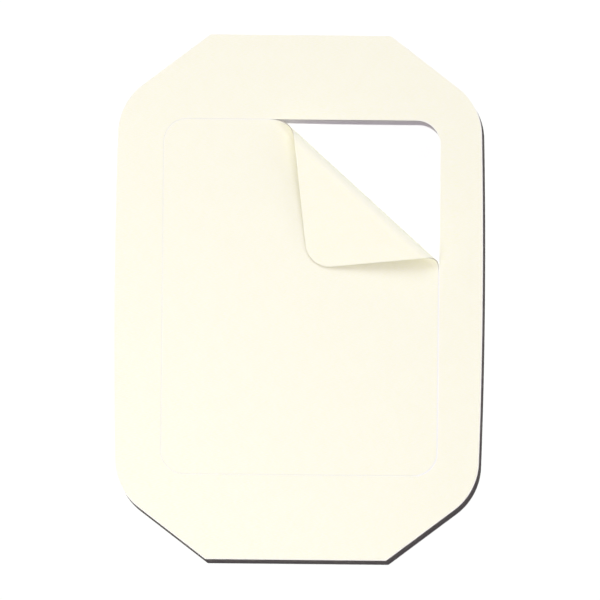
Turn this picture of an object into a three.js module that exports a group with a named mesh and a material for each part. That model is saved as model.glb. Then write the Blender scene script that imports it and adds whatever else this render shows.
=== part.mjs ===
import * as THREE from 'three';

// A frame-style transparent film dressing that lies face up, with one corner
// of its window cover peeled back. Millimetres, +X across, +Y along the
// dressing, +Z up. The origin is under the middle of the release liner.
//
// From the bottom: release liner, adhesive film, then one layer of card that
// is die-cut into the carrier frame and the window cover inside it.

// Outline shared by every sheet: an octagon with soft shoulders.
const LENGTH = 142.4;
const SHOULDER_WIDTH = 98.8; // between the corners of the two long sides
const SIDE_BOW = 0.6; // how far each long side swells past its corners
const END_WIDTH = 49; // straight edge at each end
const SHOULDER_DROP = 18.9; // from an end back to its shoulders
const SHOULDER_RADIUS = 16.6;
const END_CORNER_RADIUS = 0.8;

// Sheet thicknesses and the film's own length.
const LINER_THICKNESS = 0.12;
const FILM_THICKNESS = 0.06;
const CARD_THICKNESS = 0.3;
const FILM_LENGTH = 120;

// Window cut in the card. The cut sits slightly off centre, as it was struck.
const WINDOW_WIDTH = 74.9;
const WINDOW_LENGTH = 96.3;
const WINDOW_CORNER_RADIUS = 6.4;
const WINDOW_OFFSET = 0.6;
const CUT_WIDTH = 0.3; // clearance that the knife leaves all round the cover

// Peeled corner of the cover.
const FOLD_ANGLE = THREE.MathUtils.degToRad(41.9); // slope of the fold line
const FOLD_REACH = 28.2; // from the cover's square corner to the fold's outside
const CURL_RADIUS = 2.3; // from the curl's axis to the middle of the card
const TIP_CLEARANCE = 0.15; // under the flap's tip, which hovers on the card

// Fineness of the faceted curves.
const CORNER_STEPS = 12;
const SIDE_STEPS = 16;
const CURL_STEPS = 24;

const cardBottom = LINER_THICKNESS + FILM_THICKNESS;

const creamCard = { color: 0xfbf9e6, roughness: 0.75, metalness: 0 };
const materials = {
  liner: new THREE.MeshStandardMaterial({ color: 0xfdfdfc, roughness: 0.45, metalness: 0 }),
  film: new THREE.MeshStandardMaterial({
    color: 0xf4f7f8,
    roughness: 0.12,
    metalness: 0,
    transparent: true,
    opacity: 0.3,
  }),
  frame: new THREE.MeshStandardMaterial(creamCard),
  cover: new THREE.MeshStandardMaterial(creamCard),
};

// A closed outline through corners that each have a radius and may start a
// bowed side. Corners run anticlockwise; the result is a list of Vector2.
function roundedOutline(corners) {
  const fillets = corners.map((corner, i) => {
    const before = corners[(i + corners.length - 1) % corners.length].at;
    const after = corners[(i + 1) % corners.length].at;
    const toBefore = before.clone().sub(corner.at).normalize();
    const toAfter = after.clone().sub(corner.at).normalize();
    const halfAngle = Math.acos(toBefore.dot(toAfter)) / 2;
    const tangentLength = corner.radius / Math.tan(halfAngle);
    const bisector = toBefore.clone().add(toAfter).normalize();
    const centre = corner.at.clone().addScaledVector(bisector, corner.radius / Math.sin(halfAngle));
    const start = corner.at.clone().addScaledVector(toBefore, tangentLength).sub(centre);
    const turn = Math.PI - 2 * halfAngle;
    return Array.from({ length: CORNER_STEPS + 1 }, (_, step) =>
      start.clone().rotateAround(new THREE.Vector2(), (turn * step) / CORNER_STEPS).add(centre));
  });

  const points = [];
  corners.forEach((corner, i) => {
    points.push(...fillets[i]);
    if (!corner.bow) return;
    const from = fillets[i][CORNER_STEPS];
    const to = fillets[(i + 1) % corners.length][0];
    const along = to.clone().sub(from);
    const outward = new THREE.Vector2(along.y, -along.x).normalize();
    for (let step = 1; step < SIDE_STEPS; step += 1) {
      const part = step / SIDE_STEPS;
      const swell = corner.bow * 4 * part * (1 - part);
      points.push(from.clone().addScaledVector(along, part).addScaledVector(outward, swell));
    }
  });
  return points;
}

function sheetOutline() {
  const end = LENGTH / 2;
  const shoulder = end - SHOULDER_DROP;
  const side = SHOULDER_WIDTH / 2;
  const tip = END_WIDTH / 2;
  const corner = (x, y, radius, bow = 0) => ({ at: new THREE.Vector2(x, y), radius, bow });
  return roundedOutline([
    corner(tip, end, END_CORNER_RADIUS),
    corner(-tip, end, END_CORNER_RADIUS),
    corner(-side, shoulder, SHOULDER_RADIUS, SIDE_BOW),
    corner(-side, -shoulder, SHOULDER_RADIUS),
    corner(-tip, -end, END_CORNER_RADIUS),
    corner(tip, -end, END_CORNER_RADIUS),
    corner(side, -shoulder, SHOULDER_RADIUS, SIDE_BOW),
    corner(side, shoulder, SHOULDER_RADIUS),
  ]);
}

// The window, or with a margin the smaller cover that lies inside it.
function windowOutline(margin = 0) {
  const halfWidth = WINDOW_WIDTH / 2 - margin;
  const halfLength = WINDOW_LENGTH / 2 - margin;
  const radius = WINDOW_CORNER_RADIUS - margin;
  const signs = [[1, 1], [-1, 1], [-1, -1], [1, -1]];
  return roundedOutline(signs.map(([sx, sy]) => ({
    at: new THREE.Vector2(WINDOW_OFFSET + sx * halfWidth, sy * halfLength),
    radius,
  })));
}

// The part of a convex outline where side(point) is negative or zero.
function clip(outline, side) {
  const kept = [];
  outline.forEach((point, i) => {
    const next = outline[(i + 1) % outline.length];
    const here = side(point);
    const there = side(next);
    if (here <= 0) kept.push(point);
    if (here * there < 0) kept.push(point.clone().lerp(next, here / (here - there)));
  });
  return kept;
}

function sheet(name, outline, thickness, bottom, material, hole) {
  const shape = new THREE.Shape(outline);
  if (hole) shape.holes.push(new THREE.Path(hole));
  const geometry = new THREE.ExtrudeGeometry(shape, { depth: thickness, bevelEnabled: false });
  const mesh = new THREE.Mesh(geometry, material);
  mesh.name = name;
  mesh.position.z = bottom;
  return mesh;
}

// The film is the sheet outline cut off square at both ends.
function filmOutline() {
  const upper = clip(sheetOutline(), (point) => point.y - FILM_LENGTH / 2);
  return clip(upper, (point) => -point.y - FILM_LENGTH / 2);
}

// The cover is laid out flat, then everything past the tangent line, where the
// card leaves the film, is wound round the curl's axis and runs back straight.
function coverGeometry() {
  const pattern = windowOutline(CUT_WIDTH);
  const squareCorner = new THREE.Vector2(
    WINDOW_OFFSET + WINDOW_WIDTH / 2 - CUT_WIDTH,
    WINDOW_LENGTH / 2 - CUT_WIDTH,
  );
  const towardsCorner = new THREE.Vector2(Math.sin(FOLD_ANGLE), Math.cos(FOLD_ANGLE));
  const curlOutside = CURL_RADIUS + CARD_THICKNESS / 2;
  const tangentReach = squareCorner.dot(towardsCorner) - FOLD_REACH - curlOutside;
  const pastTangent = (point) => point.dot(towardsCorner) - tangentReach;
  const tipReach = Math.max(...pattern.map(pastTangent));
  const sweep = curlSweep(tipReach);

  // Rows of the peeled corner: one pair of edge points at each distance past
  // the tangent line, except at the tip, which is a single point.
  const curlRows = Array.from({ length: CURL_STEPS + 1 }, (_, i) => (CURL_RADIUS * sweep * i) / CURL_STEPS);
  const cornerRows = pattern.map(pastTangent).filter((reach) => reach > CURL_RADIUS * sweep);
  const reaches = [...curlRows, ...cornerRows].sort((a, b) => a - b);
  const rows = reaches.filter((reach, i) => i === 0 || reach - reaches[i - 1] > 1e-4);
  const crossings = rows.slice(0, -1).map((reach) => crossPattern(pattern, pastTangent, reach));
  const tip = pattern.find((point) => pastTangent(point) === tipReach);

  // Flat points first, with the two ends of the tangent line among them.
  const flat = clip(pattern, pastTangent);
  const points = [...flat];
  const lowerEnd = flat.findIndex((point) => point.distanceTo(crossings[0].lower) < 1e-6);
  const upperEnd = flat.findIndex((point) => point.distanceTo(crossings[0].upper) < 1e-6);
  const lower = [lowerEnd];
  const upper = [upperEnd];
  crossings.slice(1).forEach((crossing) => {
    lower.push(points.push(crossing.lower) - 1);
    upper.push(points.push(crossing.upper) - 1);
  });
  const tipIndex = points.push(tip) - 1;

  const triangles = THREE.ShapeUtils.triangulateShape(flat, []);
  for (let row = 1; row < lower.length; row += 1) {
    triangles.push([lower[row - 1], lower[row], upper[row]]);
    triangles.push([lower[row - 1], upper[row], upper[row - 1]]);
  }
  triangles.push([lower[lower.length - 1], tipIndex, upper[upper.length - 1]]);

  // The rim runs anticlockwise: round the flat part from the tangent line's
  // upper end to its lower end, then out to the tip and back.
  const flatRim = flat.map((_, i) => (upperEnd + i) % flat.length);
  const rim = [...flatRim, ...lower.slice(1), tipIndex, ...upper.slice(1).reverse()];

  const placed = (point, height) => windCard(point, height, towardsCorner, pastTangent(point), sweep);
  const vertices = [
    ...points.map((point) => placed(point, CARD_THICKNESS / 2)),
    ...points.map((point) => placed(point, -CARD_THICKNESS / 2)),
  ];
  const below = points.length;
  const faces = [
    ...triangles,
    ...triangles.map(([a, b, c]) => [a + below, c + below, b + below]),
    ...rim.flatMap((from, i) => {
      const to = rim[(i + 1) % rim.length];
      return [[from + below, to + below, to], [from + below, to, from]];
    }),
  ];

  const geometry = new THREE.BufferGeometry().setFromPoints(vertices);
  geometry.setIndex(faces.flat());
  geometry.computeVertexNormals();
  return geometry;
}

// How far round the card is wound, so that the straight run back from the curl
// brings the flap's tip down to its clearance above the card.
function curlSweep(tipReach) {
  const tipHeight = (sweep) => {
    const straight = tipReach - CURL_RADIUS * sweep;
    return CURL_RADIUS * (1 - Math.cos(sweep)) + straight * Math.sin(sweep);
  };
  const wanted = CARD_THICKNESS + TIP_CLEARANCE;
  let low = Math.PI;
  let high = Math.PI * 1.5;
  for (let i = 0; i < 50; i += 1) {
    const middle = (low + high) / 2;
    if (tipHeight(middle) > wanted) low = middle;
    else high = middle;
  }
  return low;
}

// Where the line at one distance past the tangent line crosses the pattern.
function crossPattern(pattern, pastTangent, reach) {
  const found = [];
  pattern.forEach((point, i) => {
    const next = pattern[(i + 1) % pattern.length];
    const here = pastTangent(point) - reach;
    const there = pastTangent(next) - reach;
    if (here === 0) found.push(point.clone());
    if (here * there < 0) found.push(point.clone().lerp(next, here / (here - there)));
  });
  found.sort((a, b) => a.y - b.y);
  return { lower: found[0], upper: found[found.length - 1] };
}

// A point of the flat pattern, at a height from the card's middle, in place.
function windCard(point, height, towardsCorner, reach, sweep) {
  const cardMiddle = cardBottom + CARD_THICKNESS / 2;
  if (reach <= 0) return new THREE.Vector3(point.x, point.y, cardMiddle + height);
  const angle = Math.min(reach / CURL_RADIUS, sweep);
  const straight = reach - angle * CURL_RADIUS;
  const out = CURL_RADIUS * Math.sin(angle) + straight * Math.cos(angle) - height * Math.sin(angle);
  const rise = CURL_RADIUS * (1 - Math.cos(angle)) + straight * Math.sin(angle) + height * Math.cos(angle);
  const plan = point.clone().addScaledVector(towardsCorner, out - reach);
  return new THREE.Vector3(plan.x, plan.y, cardMiddle + rise);
}

const dressing = new THREE.Group();
const liner = sheet('release_liner', sheetOutline(), LINER_THICKNESS, 0, materials.liner);
const film = sheet('film', filmOutline(), FILM_THICKNESS, LINER_THICKNESS, materials.film);
const frame = sheet(
  'carrier_frame',
  sheetOutline(),
  CARD_THICKNESS,
  cardBottom,
  materials.frame,
  windowOutline(),
);
const cover = new THREE.Mesh(coverGeometry(), materials.cover);
cover.name = 'window_cover';
dressing.add(liner, film, frame, cover);

export default dressing;
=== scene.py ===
"""A frame-style transparent film dressing, face up, with one corner of its window cover peeled back.

The flat outlines and the heights come from the frame's own nodes. Lengths on the
dressing are in millimetres until a mesh is written. The floor, the lamps and the
camera's clipping are in metres.
"""

import math

import bmesh
import bpy
import numpy as np
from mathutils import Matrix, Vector
from mathutils.geometry import delaunay_2d_cdt


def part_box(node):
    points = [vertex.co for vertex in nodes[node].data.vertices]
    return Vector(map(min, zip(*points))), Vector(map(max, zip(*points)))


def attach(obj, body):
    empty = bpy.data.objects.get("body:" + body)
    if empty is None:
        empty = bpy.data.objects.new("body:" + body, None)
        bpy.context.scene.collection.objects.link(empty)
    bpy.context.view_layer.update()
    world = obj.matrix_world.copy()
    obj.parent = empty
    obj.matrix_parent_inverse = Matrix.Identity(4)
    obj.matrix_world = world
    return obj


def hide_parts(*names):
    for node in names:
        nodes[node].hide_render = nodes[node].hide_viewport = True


MM = 0.001
SAME = 0.001  # points nearer to each other than this are one
SNAP = 1e-6  # the same, while a sheet is divided into triangles

# The peeled corner, as the part's source has it.
FOLD_ANGLE = math.radians(41.9)
FOLD_REACH = 28.2
CURL_RADIUS = 2.3
TIP_CLEARANCE = 0.15
CUT_WIDTH = 0.3
HALVINGS = 50  # in the search for the curl's sweep

# How the sheets are finished.
KNIFE_GAP = 0.008  # what shows of the cut between frame and cover
EDGE_ROUND = 0.008
AIR = 0.01  # between one sheet and the next

# The peel has drawn the cover's top edge down, off the frame.
DRAWN_IN = 0.95
DRAWN_ACROSS = (-8.3, 1)  # in x: where it starts, and where it is whole
DRAWN_BELOW_TOP = (18, 8)  # the same, measured down from the window's top

# The frame stands off the film a little beside the opened corner.
FRAME_LIFT = 0.15
LIFT_REACH = 9  # out from the window's edge
LIFT_LENGTH = 49  # along it, from the opened corner

# The margin beside every cut is paler: partly a pressed edge, partly a painted highlight
# where the cut edges catch the light.
RIM_WIDTH = 0.35
WINDOW_RIM_BASE = 0.36  # its strength away from the peel
TOP_GAIN = 0.1  # what is added to that near the top
RISE_RIGHT = (30, 36)  # in x: where it starts to rise to full strength, and where it has it
RISE_TOP = (40, 46)  # in y: the same for the gain near the top

# How far apart the points of the meshes are.
SHEET_SPACING = 2.5
OUTER_EDGE_SPACING = 1.2
WINDOW_EDGE_SPACING = 0.6
BEND_SPACING = 0.3
COVER_EDGE_SPACING = BEND_SPACING * 1.5
BEND_ROW_SPACING = 1.5
BEND_ROW_REACH = 120  # the rows run this far both ways, past the cover's edges
BEND_MARGIN = 2  # flat card on either side of the bend with the bend's spacing
GRID_CLEARANCE = 2.5  # how far the even grid keeps from the bend

# The photograph's frame.
PIXELS = 600
PIXELS_PER_MM = 3.69
OBJECT_CENTRE_PX = (298.2, 297.2)
OBJECT_TURN = math.radians(0.55)
CAMERA_HEIGHT = 700
CLIP = (0.01, 10)

# The floor reaches this far each way, and lies this many millimetres below the liner.
FLOOR_REACH = 4.0
FLOOR_DROP = 0.01

# Colours, linear.
CREAM = (0.938, 0.936, 0.715)
BACK_CREAM = (0.957, 0.95, 0.72)
PALE_CREAM = (0.97, 0.955, 0.86)
# The cut margins' paler colour: a pressed edge with a painted highlight.
PRESSED_AND_HIGHLIT_CREAM = (0.99, 0.985, 0.95)
WARM_PATCHES = (0.985, 0.975, 0.94)  # what the card's colour is multiplied by in patches
# The card's cut edge is darker than its face: partly fibres, partly painted shade, which also keeps
# bounced light out of the floor's shadow beside it.
CARD_EDGE = (0.62, 0.585, 0.47)
DARK_GRAIN = (0.9, 0.9, 0.9)  # what a cut edge's colour is multiplied by in its grain
LINER_WHITE = (0.965, 0.965, 0.96)
LINER_SHADE = (0.945, 0.945, 0.935)
# The liner's cut edge is darker than its face: partly painted shade.
LINER_EDGE = (0.66, 0.66, 0.645)
FILM_TINT = (0.97, 0.98, 0.98)
WHITE = (1, 1, 1)

# Light.
WORLD_FILL = (0.068, 0.06, 0.066)
COOL = (0.96, 1.01, 1.17)
WARM = (1.05, 1.01, 0.8)
BLUE = (0.35, 0.5, 1.0)
ROSE = (1.1, 0.97, 1.1)
PALE_ROSE = (1.02, 0.98, 1.02)
PALE_GREEN = (0.98, 1.005, 0.98)
CRISP = {"towards": (0.5, -0.866), "elevation": 19.8, "softness": 1.5, "colour": PALE_GREEN}

# The paper fibres lie in three directions.
FIBRE_TURNS = (0.2, math.radians(62), math.radians(121))

# A sheet's materials, in this order.
TOP, UNDERSIDE, CUT = range(3)


def millimetres(node):
    """A node's lowest and highest corners."""
    low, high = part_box(node)
    return np.array(low) / MM, np.array(high) / MM


def top_outlines(node):
    """The closed outlines round a flat node's top face, the outer one first.

    The outer one runs anticlockwise and a hole's runs clockwise, so the sheet
    is always on the left.
    """
    bm = bmesh.new()
    bm.from_mesh(node.data)
    bmesh.ops.remove_doubles(bm, verts=bm.verts, dist=SAME * MM)
    top = max(v.co.z for v in bm.verts)

    def on_top(face):
        return min(v.co.z for v in face.verts) > top - SAME * MM

    following = {}
    for face in filter(on_top, bm.faces):
        for loop in face.loops:
            if sum(map(on_top, loop.edge.link_faces)) == 1:
                following[loop.vert.index] = loop.link_loop_next.vert.index
    places = {v.index: (v.co.x / MM, v.co.y / MM) for v in bm.verts}
    bm.free()
    outlines = []
    while following:
        start, here = following.popitem()
        outline = [places[start]]
        while here != start:
            outline.append(places[here])
            here = following.pop(here)
        outlines.append(np.array(outline))
    return sorted(outlines, key=lambda o: -np.ptp(o[:, 0]))


def divided(outline, spacing):
    """The outline with points no further apart than spacing."""
    points = []
    for here, there in zip(outline, np.roll(outline, -1, axis=0)):
        steps = max(1, math.ceil(np.linalg.norm(there - here) / spacing))
        points += [here + (there - here) * i / steps for i in range(steps)]
    return np.array(points)


def inset(outline, distance):
    """The outline moved to its left, into the sheet."""
    before = outline - np.roll(outline, 1, axis=0)
    after = np.roll(outline, -1, axis=0) - outline
    normals = []
    for edge in (before, after):
        unit = edge / np.linalg.norm(edge, axis=1)[:, None]
        normals.append(np.stack([-unit[:, 1], unit[:, 0]], axis=1))
    joined = normals[0] + normals[1]
    reach = 1 + (normals[0] * normals[1]).sum(axis=1)
    return outline + distance * joined / reach[:, None]


def inside(points, outlines):
    """Which points lie on the sheet that the outlines bound."""
    crossings = np.zeros(len(points), int)
    x, y = points[:, :1], points[:, 1:]
    for outline in outlines:
        x0, y0 = outline.T
        x1, y1 = np.roll(outline, -1, axis=0).T
        spans = (y0 > y) != (y1 > y)
        level = np.where(y1 == y0, 1, y1 - y0)
        crossings += (spans & (x < x0 + (y - y0) * (x1 - x0) / level)).sum(axis=1)
    return crossings % 2 == 1


def distance_to(points, outlines):
    """Each point's distance from the nearest outline."""
    nearest = np.full(len(points), np.inf)
    for outline in outlines:
        along = np.roll(outline, -1, axis=0) - outline
        offset = points[:, None] - outline
        share = np.clip((offset * along).sum(axis=2) / (along * along).sum(axis=1), 0, 1)
        away = np.linalg.norm(offset - share[:, :, None] * along, axis=2)
        nearest = np.minimum(nearest, away.min(axis=1))
    return nearest


def well_inside(points, outlines, clearance):
    """The points that lie on the sheet and no nearer than clearance to its edges."""
    return points[inside(points, outlines) & (distance_to(points, outlines) > clearance)]


def grid(outlines, spacing):
    """Evenly spaced points, every second row shifted by half a space."""
    low, high = outlines[0].min(axis=0), outlines[0].max(axis=0)
    rows = np.arange(low[1], high[1], spacing * math.sqrt(3) / 2)
    columns = np.arange(low[0], high[0], spacing)
    points = [(x + (i % 2) * spacing / 2, y) for i, y in enumerate(rows) for x in columns]
    return well_inside(np.array(points), outlines, spacing / 2)


def sheet(name, outlines, thickness, place, inner_points):
    """A closed sheet with rounded edges, laid out flat and then put in place.

    place(points, height) gives where flat points at that height from the sheet's
    middle go. The attribute rim is 1 at the cut edges and 0 on the rest.
    """
    shoulder = [inset(o, EDGE_ROUND) for o in outlines]
    margin = [inset(o, RIM_WIDTH) for o in outlines]
    flat = [tuple(p) for ring in (*shoulder, *margin) for p in ring]
    flat += [tuple(p) for p in inner_points]
    edges, rim_count = [], 0
    for ring in shoulder:
        edges += [(rim_count + i, rim_count + (i + 1) % len(ring)) for i in range(len(ring))]
        rim_count += len(ring)
    found = delaunay_2d_cdt([Vector(p) for p in flat], edges, [], 0, SNAP)
    places, _, triangles, sources = found[:4]
    points = np.array([tuple(p) for p in places])
    triangles = np.array(triangles)
    triangles = triangles[inside(points[triangles].mean(axis=1), shoulder)]

    half = thickness / 2
    count = len(points)
    number = {old: new for new, olds in enumerate(sources) for old in olds}
    layers = [place(points, half), place(points, -half)]
    rim = [1.0 if any(old < rim_count for old in olds) else 0.0 for olds in sources] * 2
    faces = [tuple(t) for t in triangles]
    faces += [(a + count, c + count, b + count) for a, b, c in triangles]
    kinds = [TOP] * len(triangles) + [UNDERSIDE] * len(triangles)

    total, first = 2 * count, 0
    for outline in outlines:
        ring = [number[first + i] for i in range(len(outline))]
        upper = range(total, total + len(outline))
        lower = range(total + len(outline), total + 2 * len(outline))
        layers += [place(outline, half - EDGE_ROUND), place(outline, EDGE_ROUND - half)]
        rim += [1.0] * 2 * len(outline)
        for i in range(len(outline)):
            j = (i + 1) % len(outline)
            faces.append((ring[i], upper[i], upper[j], ring[j]))
            faces.append((upper[i], lower[i], lower[j], upper[j]))
            faces.append((lower[i], ring[i] + count, ring[j] + count, lower[j]))
            kinds += [TOP, CUT, UNDERSIDE]
        total += 2 * len(outline)
        first += len(outline)

    mesh = bpy.data.meshes.new(name)
    mesh.from_pydata(np.vstack(layers) * MM, [], faces)
    mesh.polygons.foreach_set("material_index", kinds)
    mesh.attributes.new("rim", "FLOAT", "POINT").data.foreach_set("value", rim)
    mesh.update()
    mesh.shade_smooth()
    piece = bpy.data.objects.new(name, mesh)
    bpy.context.collection.objects.link(piece)
    return piece


def finish_piece(piece, node, materials):
    """Put the materials on a piece, hang it on the root body and hide the node it stands in for."""
    for material in materials:
        piece.data.materials.append(material)
    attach(piece, "root")
    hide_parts(node)


def flat_sheet(name, node, materials):
    """A plain sheet in a flat node's place, a little thinner so that it stays clear of the next."""
    outlines = top_outlines(nodes[node])
    low, high = millimetres(node)
    thickness = high[2] - low[2] - AIR
    middle = (low[2] + (high[2] - AIR)) / 2

    def place(points, height):
        return np.column_stack([points, np.full(len(points), middle + height)])

    piece = sheet(name, outlines, thickness, place, grid(outlines, SHEET_SPACING))
    finish_piece(piece, node, materials)
    return piece


def ease(values, start, end):
    """0 below start, 1 above end and a smooth rise between."""
    share = np.clip((values - start) / (end - start), 0, 1)
    return share * share * (3 - 2 * share)


def cover_pattern(window):
    """The cover laid out flat: the window less the knife's gap.

    Towards the peeled corner its top edge has been drawn in.
    """
    pattern = inset(window[::-1], KNIFE_GAP)
    x, y = pattern.T
    top = window[:, 1].max()
    start, end = (top - below for below in DRAWN_BELOW_TOP)
    y = y - DRAWN_IN * ease(x, *DRAWN_ACROSS) * ease(y, start, end)
    return np.column_stack([x, y])


def quieten_cut(piece, window):
    """Weaken the paler rim along the window's cut, least at the right and near the top, where it is
    a painted highlight on the lit cut edge.
    """
    attribute = piece.data.attributes["rim"].data
    rim = np.zeros(len(attribute))
    attribute.foreach_get("value", rim)
    places = np.array([v.co for v in piece.data.vertices])[:, :2] / MM
    beside_cut = distance_to(places, [window]) < 2 * RIM_WIDTH
    right, top = ease(places[:, 0], *RISE_RIGHT), ease(places[:, 1], *RISE_TOP)
    # The highlight painted on the lit cut edge: full at the right, and a little stronger near the
    # top.
    rim_highlight_share = np.minimum(WINDOW_RIM_BASE + TOP_GAIN * top + right, 1)
    attribute.foreach_set("value", np.where(beside_cut, rim * rim_highlight_share, rim))


class Curl:
    """The cover's peeled corner: wound round an axis along the fold, then straight back."""

    def __init__(self, window, card_low, card_high):
        self.thickness = card_high - card_low
        self.middle = (card_low + card_high) / 2
        self.across = np.array([math.sin(FOLD_ANGLE), math.cos(FOLD_ANGLE)])
        square_corner = window.max(axis=0) - CUT_WIDTH
        outside = CURL_RADIUS + self.thickness / 2
        self.tangent = square_corner @ self.across - FOLD_REACH - outside
        self.tip = (cover_pattern(window) @ self.across).max() - self.tangent
        self.sweep = self.find_sweep()

    def find_sweep(self):
        """The turn that brings the flap's tip down to its clearance."""
        low, high = math.pi, 1.5 * math.pi
        for _ in range(HALVINGS):
            middle = (low + high) / 2
            straight = self.tip - CURL_RADIUS * middle
            rise = CURL_RADIUS * (1 - math.cos(middle)) + straight * math.sin(middle)
            if rise > self.thickness + TIP_CLEARANCE:
                low = middle
            else:
                high = middle
        return low

    def place(self, points, height):
        """Where flat points end up, at that height from the card's middle."""
        reach = np.maximum(points @ self.across - self.tangent, 0)
        angle = np.minimum(reach / CURL_RADIUS, self.sweep)
        straight = reach - angle * CURL_RADIUS
        out = CURL_RADIUS * np.sin(angle) + straight * np.cos(angle) - height * np.sin(angle)
        rise = CURL_RADIUS * (1 - np.cos(angle)) + straight * np.sin(angle) + height * np.cos(angle)
        return np.column_stack([points + self.across * (out - reach)[:, None], self.middle + rise])

    def points(self, outlines):
        """The even grid over the flat card, and close rows along the fold where it bends."""
        even = grid(outlines, SHEET_SPACING)
        reach = even @ self.across - self.tangent
        bend_end = CURL_RADIUS * self.sweep
        clear = ~((reach > -GRID_CLEARANCE) & (reach < bend_end + GRID_CLEARANCE))
        along = np.array([self.across[1], -self.across[0]])
        rows = np.arange(-BEND_MARGIN, bend_end + BEND_MARGIN, BEND_SPACING)
        steps = np.arange(-BEND_ROW_REACH, BEND_ROW_REACH, BEND_ROW_SPACING)
        bend = np.array([self.across * (self.tangent + r) + along * s for r in rows for s in steps])
        return np.vstack([even[clear], well_inside(bend, outlines, BEND_SPACING)])


class Material:
    """A node material with short helpers, so that each finish reads as a recipe."""

    def __init__(self, name):
        self.material = bpy.data.materials.new(name)
        self.material.use_nodes = True
        self.tree = self.material.node_tree
        self.shader = self.tree.nodes["Principled BSDF"]
        self.place = self.add("ShaderNodeTexCoord").outputs["Object"]

    def add(self, kind, **settings):
        node = self.tree.nodes.new(kind)
        for key, value in settings.items():
            setattr(node, key, value)
        return node

    def fixed(self, **values):
        """Constants on the shader. An underscore in a name stands for a space."""
        for name, value in values.items():
            self.shader.inputs[name.replace("_", " ")].default_value = value

    def feed(self, value, target):
        """Link a node's output to a socket, or set it to a number or a colour."""
        if isinstance(value, bpy.types.NodeSocket):
            self.tree.links.new(value, target)
        elif isinstance(value, tuple):
            target.default_value = (*value, 1)
        else:
            target.default_value = value

    def drive_shader(self, **values):
        """Node outputs into the shader, named as fixed names them."""
        for name, value in values.items():
            self.feed(value, self.shader.inputs[name.replace("_", " ")])

    def noise(self, size, detail=2.0, stretch=(1, 1, 1), turn=0.0):
        """Noise whose features are about size millimetres."""
        mapping = self.add("ShaderNodeMapping")
        mapping.inputs["Rotation"].default_value = (0, 0, turn)
        mapping.inputs["Scale"].default_value = [1 / (size * MM * s) for s in stretch]
        self.feed(self.place, mapping.inputs["Vector"])
        noise = self.add("ShaderNodeTexNoise")
        noise.inputs["Scale"].default_value = 1
        noise.inputs["Detail"].default_value = detail
        self.feed(mapping.outputs["Vector"], noise.inputs["Vector"])
        return noise.outputs["Fac"]

    def math(self, operation, a, b):
        node = self.add("ShaderNodeMath", operation=operation)
        self.feed(a, node.inputs[0])
        self.feed(b, node.inputs[1])
        return node.outputs[0]

    def spread(self, value, low, high, start=0.3, end=0.7):
        """The value's range start to end mapped on to low to high."""
        node = self.add("ShaderNodeMapRange")
        node.inputs["From Min"].default_value = start
        node.inputs["From Max"].default_value = end
        node.inputs["To Min"].default_value = low
        node.inputs["To Max"].default_value = high
        self.feed(value, node.inputs["Value"])
        return node.outputs["Result"]

    def blend(self, share, first, second):
        """From the first colour at a share of 0 to the second at 1."""
        node = self.add("ShaderNodeMix", data_type="RGBA")
        self.feed(share, node.inputs["Factor"])
        self.feed(first, node.inputs["A"])
        self.feed(second, node.inputs["B"])
        return node.outputs["Result"]

    def bump(self, height, distance, strength):
        """Relief of this many millimetres."""
        node = self.add("ShaderNodeBump")
        node.inputs["Distance"].default_value = distance * MM
        node.inputs["Strength"].default_value = strength
        self.feed(height, node.inputs["Height"])
        self.drive_shader(Normal=node.outputs["Normal"])


def tinted(colour, factors):
    """The colour with each of its channels multiplied."""
    return tuple(c * f for c, f in zip(colour, factors))


def fibres(material, size, stretch):
    """Long thin noise laid in three directions, as matted paper fibres lie."""
    layers = [material.noise(size, 3.0, (stretch, 1, 1), turn) for turn in FIBRE_TURNS]
    total = material.math("ADD", layers[0], layers[1])
    total = material.math("ADD", total, layers[2])
    return material.math("MULTIPLY", total, 1 / len(layers))


def card(name, colour, rim_paling, coat=0.0):
    """Uncoated cream card: mottled, with pale fibres, and paler along its cut edges, partly pressed
    and partly a painted highlight.

    rim_paling is how far a cut edge goes to that paler colour.
    """
    m = Material(name)
    m.fixed(Specular_IOR_Level=0.35, Coat_Weight=coat, Coat_Roughness=0.45)
    matted = fibres(m, size=0.12, stretch=9)
    clouds = m.noise(size=4.5, detail=3.0)
    body = m.blend(m.spread(clouds, 0.0, 0.55), colour, tinted(colour, WARM_PATCHES))
    body = m.blend(m.spread(matted, 0.0, 0.75, start=0.4, end=0.6), body, PALE_CREAM)
    rim = m.add("ShaderNodeAttribute", attribute_name="rim")
    paler = m.spread(rim.outputs["Fac"], 0, rim_paling, start=0, end=0.8)
    m.drive_shader(Base_Color=m.blend(paler, body, PRESSED_AND_HIGHLIT_CREAM))
    m.drive_shader(Roughness=m.spread(matted, 0.62, 0.86))
    m.bump(matted, 0.03, strength=0.7)
    return m.material


def cut_edge(name, colour):
    """Rough fibres where a sheet has been cut through, darker than the face: partly its fibres,
    partly painted shade.
    """
    m = Material(name)
    m.fixed(Specular_IOR_Level=0.2, Roughness=0.9)
    grain = m.noise(size=0.12, detail=4.0, stretch=(1, 1, 2.5))
    dark = tinted(colour, DARK_GRAIN)
    m.drive_shader(Base_Color=m.blend(m.spread(grain, 0, 1), colour, dark))
    m.bump(grain, 0.02, strength=0.6)
    return m.material


def liner_paper():
    """Dense white paper with a silky silicone coat."""
    m = Material("liner_paper")
    m.fixed(Specular_IOR_Level=0.5, Coat_Weight=0.3, Coat_Roughness=0.3)
    matted = fibres(m, size=0.2, stretch=6)
    m.drive_shader(Base_Color=m.blend(m.spread(matted, 0, 1), LINER_WHITE, LINER_SHADE))
    m.drive_shader(Roughness=m.spread(matted, 0.42, 0.52))
    m.bump(matted, 0.008, strength=0.5)
    return m.material


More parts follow.
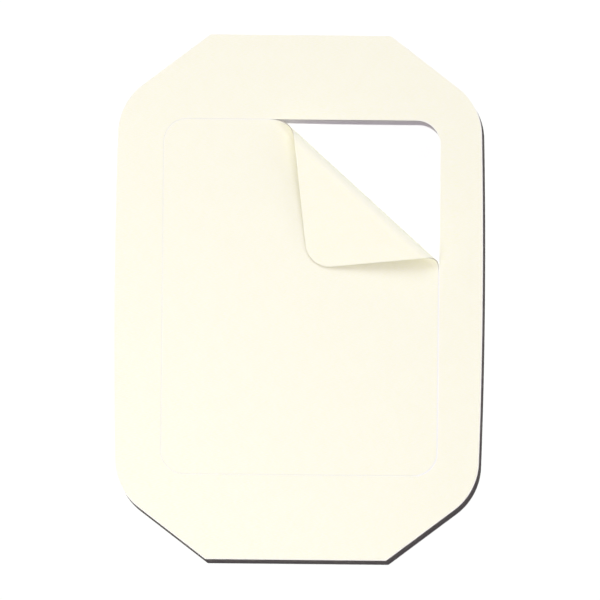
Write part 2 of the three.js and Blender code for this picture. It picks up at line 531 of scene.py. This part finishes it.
def clear_film():
    """Soft clear polyurethane with a faint ripple and a satin gloss."""
    m = Material("clear_film")
    m.fixed(Base_Color=(*FILM_TINT, 1), Alpha=0.18, IOR=1.5, Specular_IOR_Level=0.7)
    ripple = m.noise(size=5, stretch=(1, 2.2, 1), turn=math.radians(40))
    grain = m.noise(size=0.25)
    m.drive_shader(Roughness=m.spread(grain, 0.16, 0.3))
    m.bump(m.math("ADD", ripple, m.math("MULTIPLY", grain, 0.04)), 0.12, strength=0.4)
    return m.material


def add_floor():
    """A matt white ground, just under the liner."""
    mesh = bpy.data.meshes.new("floor")
    corners = [(-1, -1), (1, -1), (1, 1), (-1, 1)]
    points = [(x * FLOOR_REACH, y * FLOOR_REACH, -FLOOR_DROP * MM) for x, y in corners]
    mesh.from_pydata(points, [], [(0, 1, 2, 3)])
    floor = bpy.data.objects.new("floor", mesh)
    bpy.context.collection.objects.link(floor)
    m = Material("floor")
    m.fixed(Base_Color=(*WHITE, 1), Roughness=1.0, Specular_IOR_Level=0.0)
    mesh.materials.append(m.material)
    return floor


def add_world():
    """White to the camera, in reflections and through the film, and a plain even fill elsewhere."""
    world = bpy.data.worlds.new("studio")
    bpy.context.scene.world = world
    world.use_nodes = True
    tree = world.node_tree
    path = tree.nodes.new("ShaderNodeLightPath")
    seen = path.outputs["Is Camera Ray"]
    for ray in ("Is Glossy Ray", "Is Transmission Ray"):
        either = tree.nodes.new("ShaderNodeMath")
        either.operation = "MAXIMUM"
        tree.links.new(seen, either.inputs[0])
        tree.links.new(path.outputs[ray], either.inputs[1])
        seen = either.outputs[0]
    colour = tree.nodes.new("ShaderNodeMix")
    colour.data_type = "RGBA"
    colour.inputs["A"].default_value = (*WORLD_FILL, 1)
    colour.inputs["B"].default_value = (*WHITE, 1)
    tree.links.new(seen, colour.inputs["Factor"])
    tree.links.new(colour.outputs["Result"], tree.nodes["Background"].inputs["Color"])


def group(name, pieces):
    """A collection that a lamp can be limited to."""
    collection = bpy.data.collections.new(name)
    for piece in pieces:
        collection.objects.link(piece)
    return collection


def add_lamp(name, kind, place, colour, lit):
    """A lamp at place that points at the dressing and lights only the collection lit."""
    data = bpy.data.lights.new(name, kind)
    data.color = colour
    lamp = bpy.data.objects.new(name, data)
    bpy.context.collection.objects.link(lamp)
    lamp.location = place
    way = Vector((0, 0, 0)) - Vector(place)
    lamp.rotation_euler = way.to_track_quat("-Z", "Y").to_euler()
    lamp.light_linking.receiver_collection = lit
    return data


def softbox(name, place, size, power, colour, lit):
    """A square lamp, size metres wide, of this power in watts."""
    data = add_lamp(name, "AREA", place, colour, lit)
    data.shape = "SQUARE"
    data.size = size
    data.energy = power


def sun(name, towards, elevation, share, softness, colour, lit, shadows=True):
    """A directional lamp that gives a flat surface this share of full light.

    towards is the way that shadows fall, in the row's X and Y. elevation and
    softness are in degrees.
    """
    height = math.sin(math.radians(elevation))
    level = Vector((*towards, 0)).normalized() * math.cos(math.radians(elevation))
    data = add_lamp(name, "SUN", -(level - Vector((0, 0, height))), colour, lit)
    data.angle = math.radians(softness)
    data.energy = math.pi * share / height
    data.use_shadow = shadows


def add_camera():
    """Straight down, with the photograph's scale, turn and framing."""
    data = bpy.data.cameras.new("camera")
    camera = bpy.data.objects.new("camera", data)
    bpy.context.collection.objects.link(camera)
    bpy.context.scene.camera = camera
    data.lens = data.sensor_width * CAMERA_HEIGHT / (PIXELS / PIXELS_PER_MM)
    data.clip_start, data.clip_end = CLIP
    right = (PIXELS / 2 - OBJECT_CENTRE_PX[0]) / PIXELS_PER_MM
    up = (OBJECT_CENTRE_PX[1] - PIXELS / 2) / PIXELS_PER_MM
    x = right * math.cos(OBJECT_TURN) - up * math.sin(OBJECT_TURN)
    y = right * math.sin(OBJECT_TURN) + up * math.cos(OBJECT_TURN)
    card_top = millimetres("carrier_frame")[1][2]
    camera.location = Vector((x, y, card_top + CAMERA_HEIGHT)) * MM
    camera.rotation_euler = (0, 0, OBJECT_TURN)


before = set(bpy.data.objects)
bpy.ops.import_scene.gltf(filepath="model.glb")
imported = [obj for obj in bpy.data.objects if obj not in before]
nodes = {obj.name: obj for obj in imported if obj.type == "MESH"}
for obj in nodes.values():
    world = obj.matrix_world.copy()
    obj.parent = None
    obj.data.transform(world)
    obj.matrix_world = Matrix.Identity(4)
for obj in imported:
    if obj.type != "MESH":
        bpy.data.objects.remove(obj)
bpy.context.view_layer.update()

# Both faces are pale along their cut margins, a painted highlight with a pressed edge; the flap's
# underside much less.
card_face = card("card_face", CREAM, rim_paling=0.85)
card_back = card("card_back", BACK_CREAM, rim_paling=0.2, coat=0.25)
card_materials = [card_face, card_back, cut_edge("card_edge", CARD_EDGE)]
white_paper = liner_paper()
white_materials = [white_paper, white_paper, cut_edge("liner_edge", LINER_EDGE)]
film_materials = [clear_film()] * 3

liner = flat_sheet("liner_sheet", "release_liner", white_materials)
film = flat_sheet("film_sheet", "film", film_materials)

outer, window = top_outlines(nodes["carrier_frame"])
card_low, card_high = millimetres("carrier_frame")
curl = Curl(window, card_low[2], card_high[2])
opened_corner = window.max(axis=0)


def place_frame(points, height):
    """Flat, but for a slight lift where the cover has been pulled off its edge."""
    off_edge = np.minimum(distance_to(points, [window]) / LIFT_REACH, 1)
    from_corner = np.linalg.norm(points - opened_corner, axis=1) / LIFT_LENGTH
    near = np.maximum(0, 1 - from_corner**4)
    lift = FRAME_LIFT * near * (1 - off_edge) ** 2
    return np.column_stack([points, curl.middle + height + lift])


frame_outlines = [divided(outer, OUTER_EDGE_SPACING), divided(window, WINDOW_EDGE_SPACING)]
frame_points = grid([outer, window], SHEET_SPACING)
card_frame = sheet("card_frame", frame_outlines, curl.thickness, place_frame, frame_points)
finish_piece(card_frame, "carrier_frame", card_materials)
quieten_cut(card_frame, window)

cover_outline = [cover_pattern(divided(window, COVER_EDGE_SPACING))]
cover_points = curl.points(cover_outline)
cover = sheet("cover_card", cover_outline, curl.thickness, curl.place, cover_points)
finish_piece(cover, "window_cover", card_materials)
quieten_cut(cover, window)

floor = add_floor()
add_world()

# The light on the card is soft, and that on the white round it is hard. The floor has
# both hard lamps.
on_card = group("card_pieces", [card_frame, cover])
on_object = group("object_pieces", [card_frame, cover, film, liner])
on_floor = group("ground_pieces", [floor])
on_white = group("white_pieces", [floor, film, liner])
softbox("overhead", (0, 0, 0.7), size=1.0, power=1.88, colour=ROSE, lit=on_object)
softbox("lower_left", (-0.4, -0.33, 0.58), size=0.5, power=2.25, colour=WARM, lit=on_card)
softbox("window_side", (-0.22, -0.2, 0.25), size=0.2, power=0.12, colour=BLUE, lit=on_card)
sun("upper", (-0.02, -1), elevation=47, share=0.29, softness=34, colour=COOL, lit=on_card)
sun("right", (-1, -0.2), elevation=30, share=0.11, softness=45, colour=PALE_GREEN, lit=on_card)
sun(
    "low_fill_left",
    (0.67, 0.74),
    elevation=20,
    share=0.05,
    softness=10,
    colour=PALE_ROSE,
    lit=on_card,
    shadows=False,
)
sun("crisp_white", share=0.765, lit=on_white, **CRISP)
sun("crisp_floor", share=0.21, lit=on_floor, **CRISP)
add_camera()

bpy.context.scene.view_settings.view_transform = "Standard"
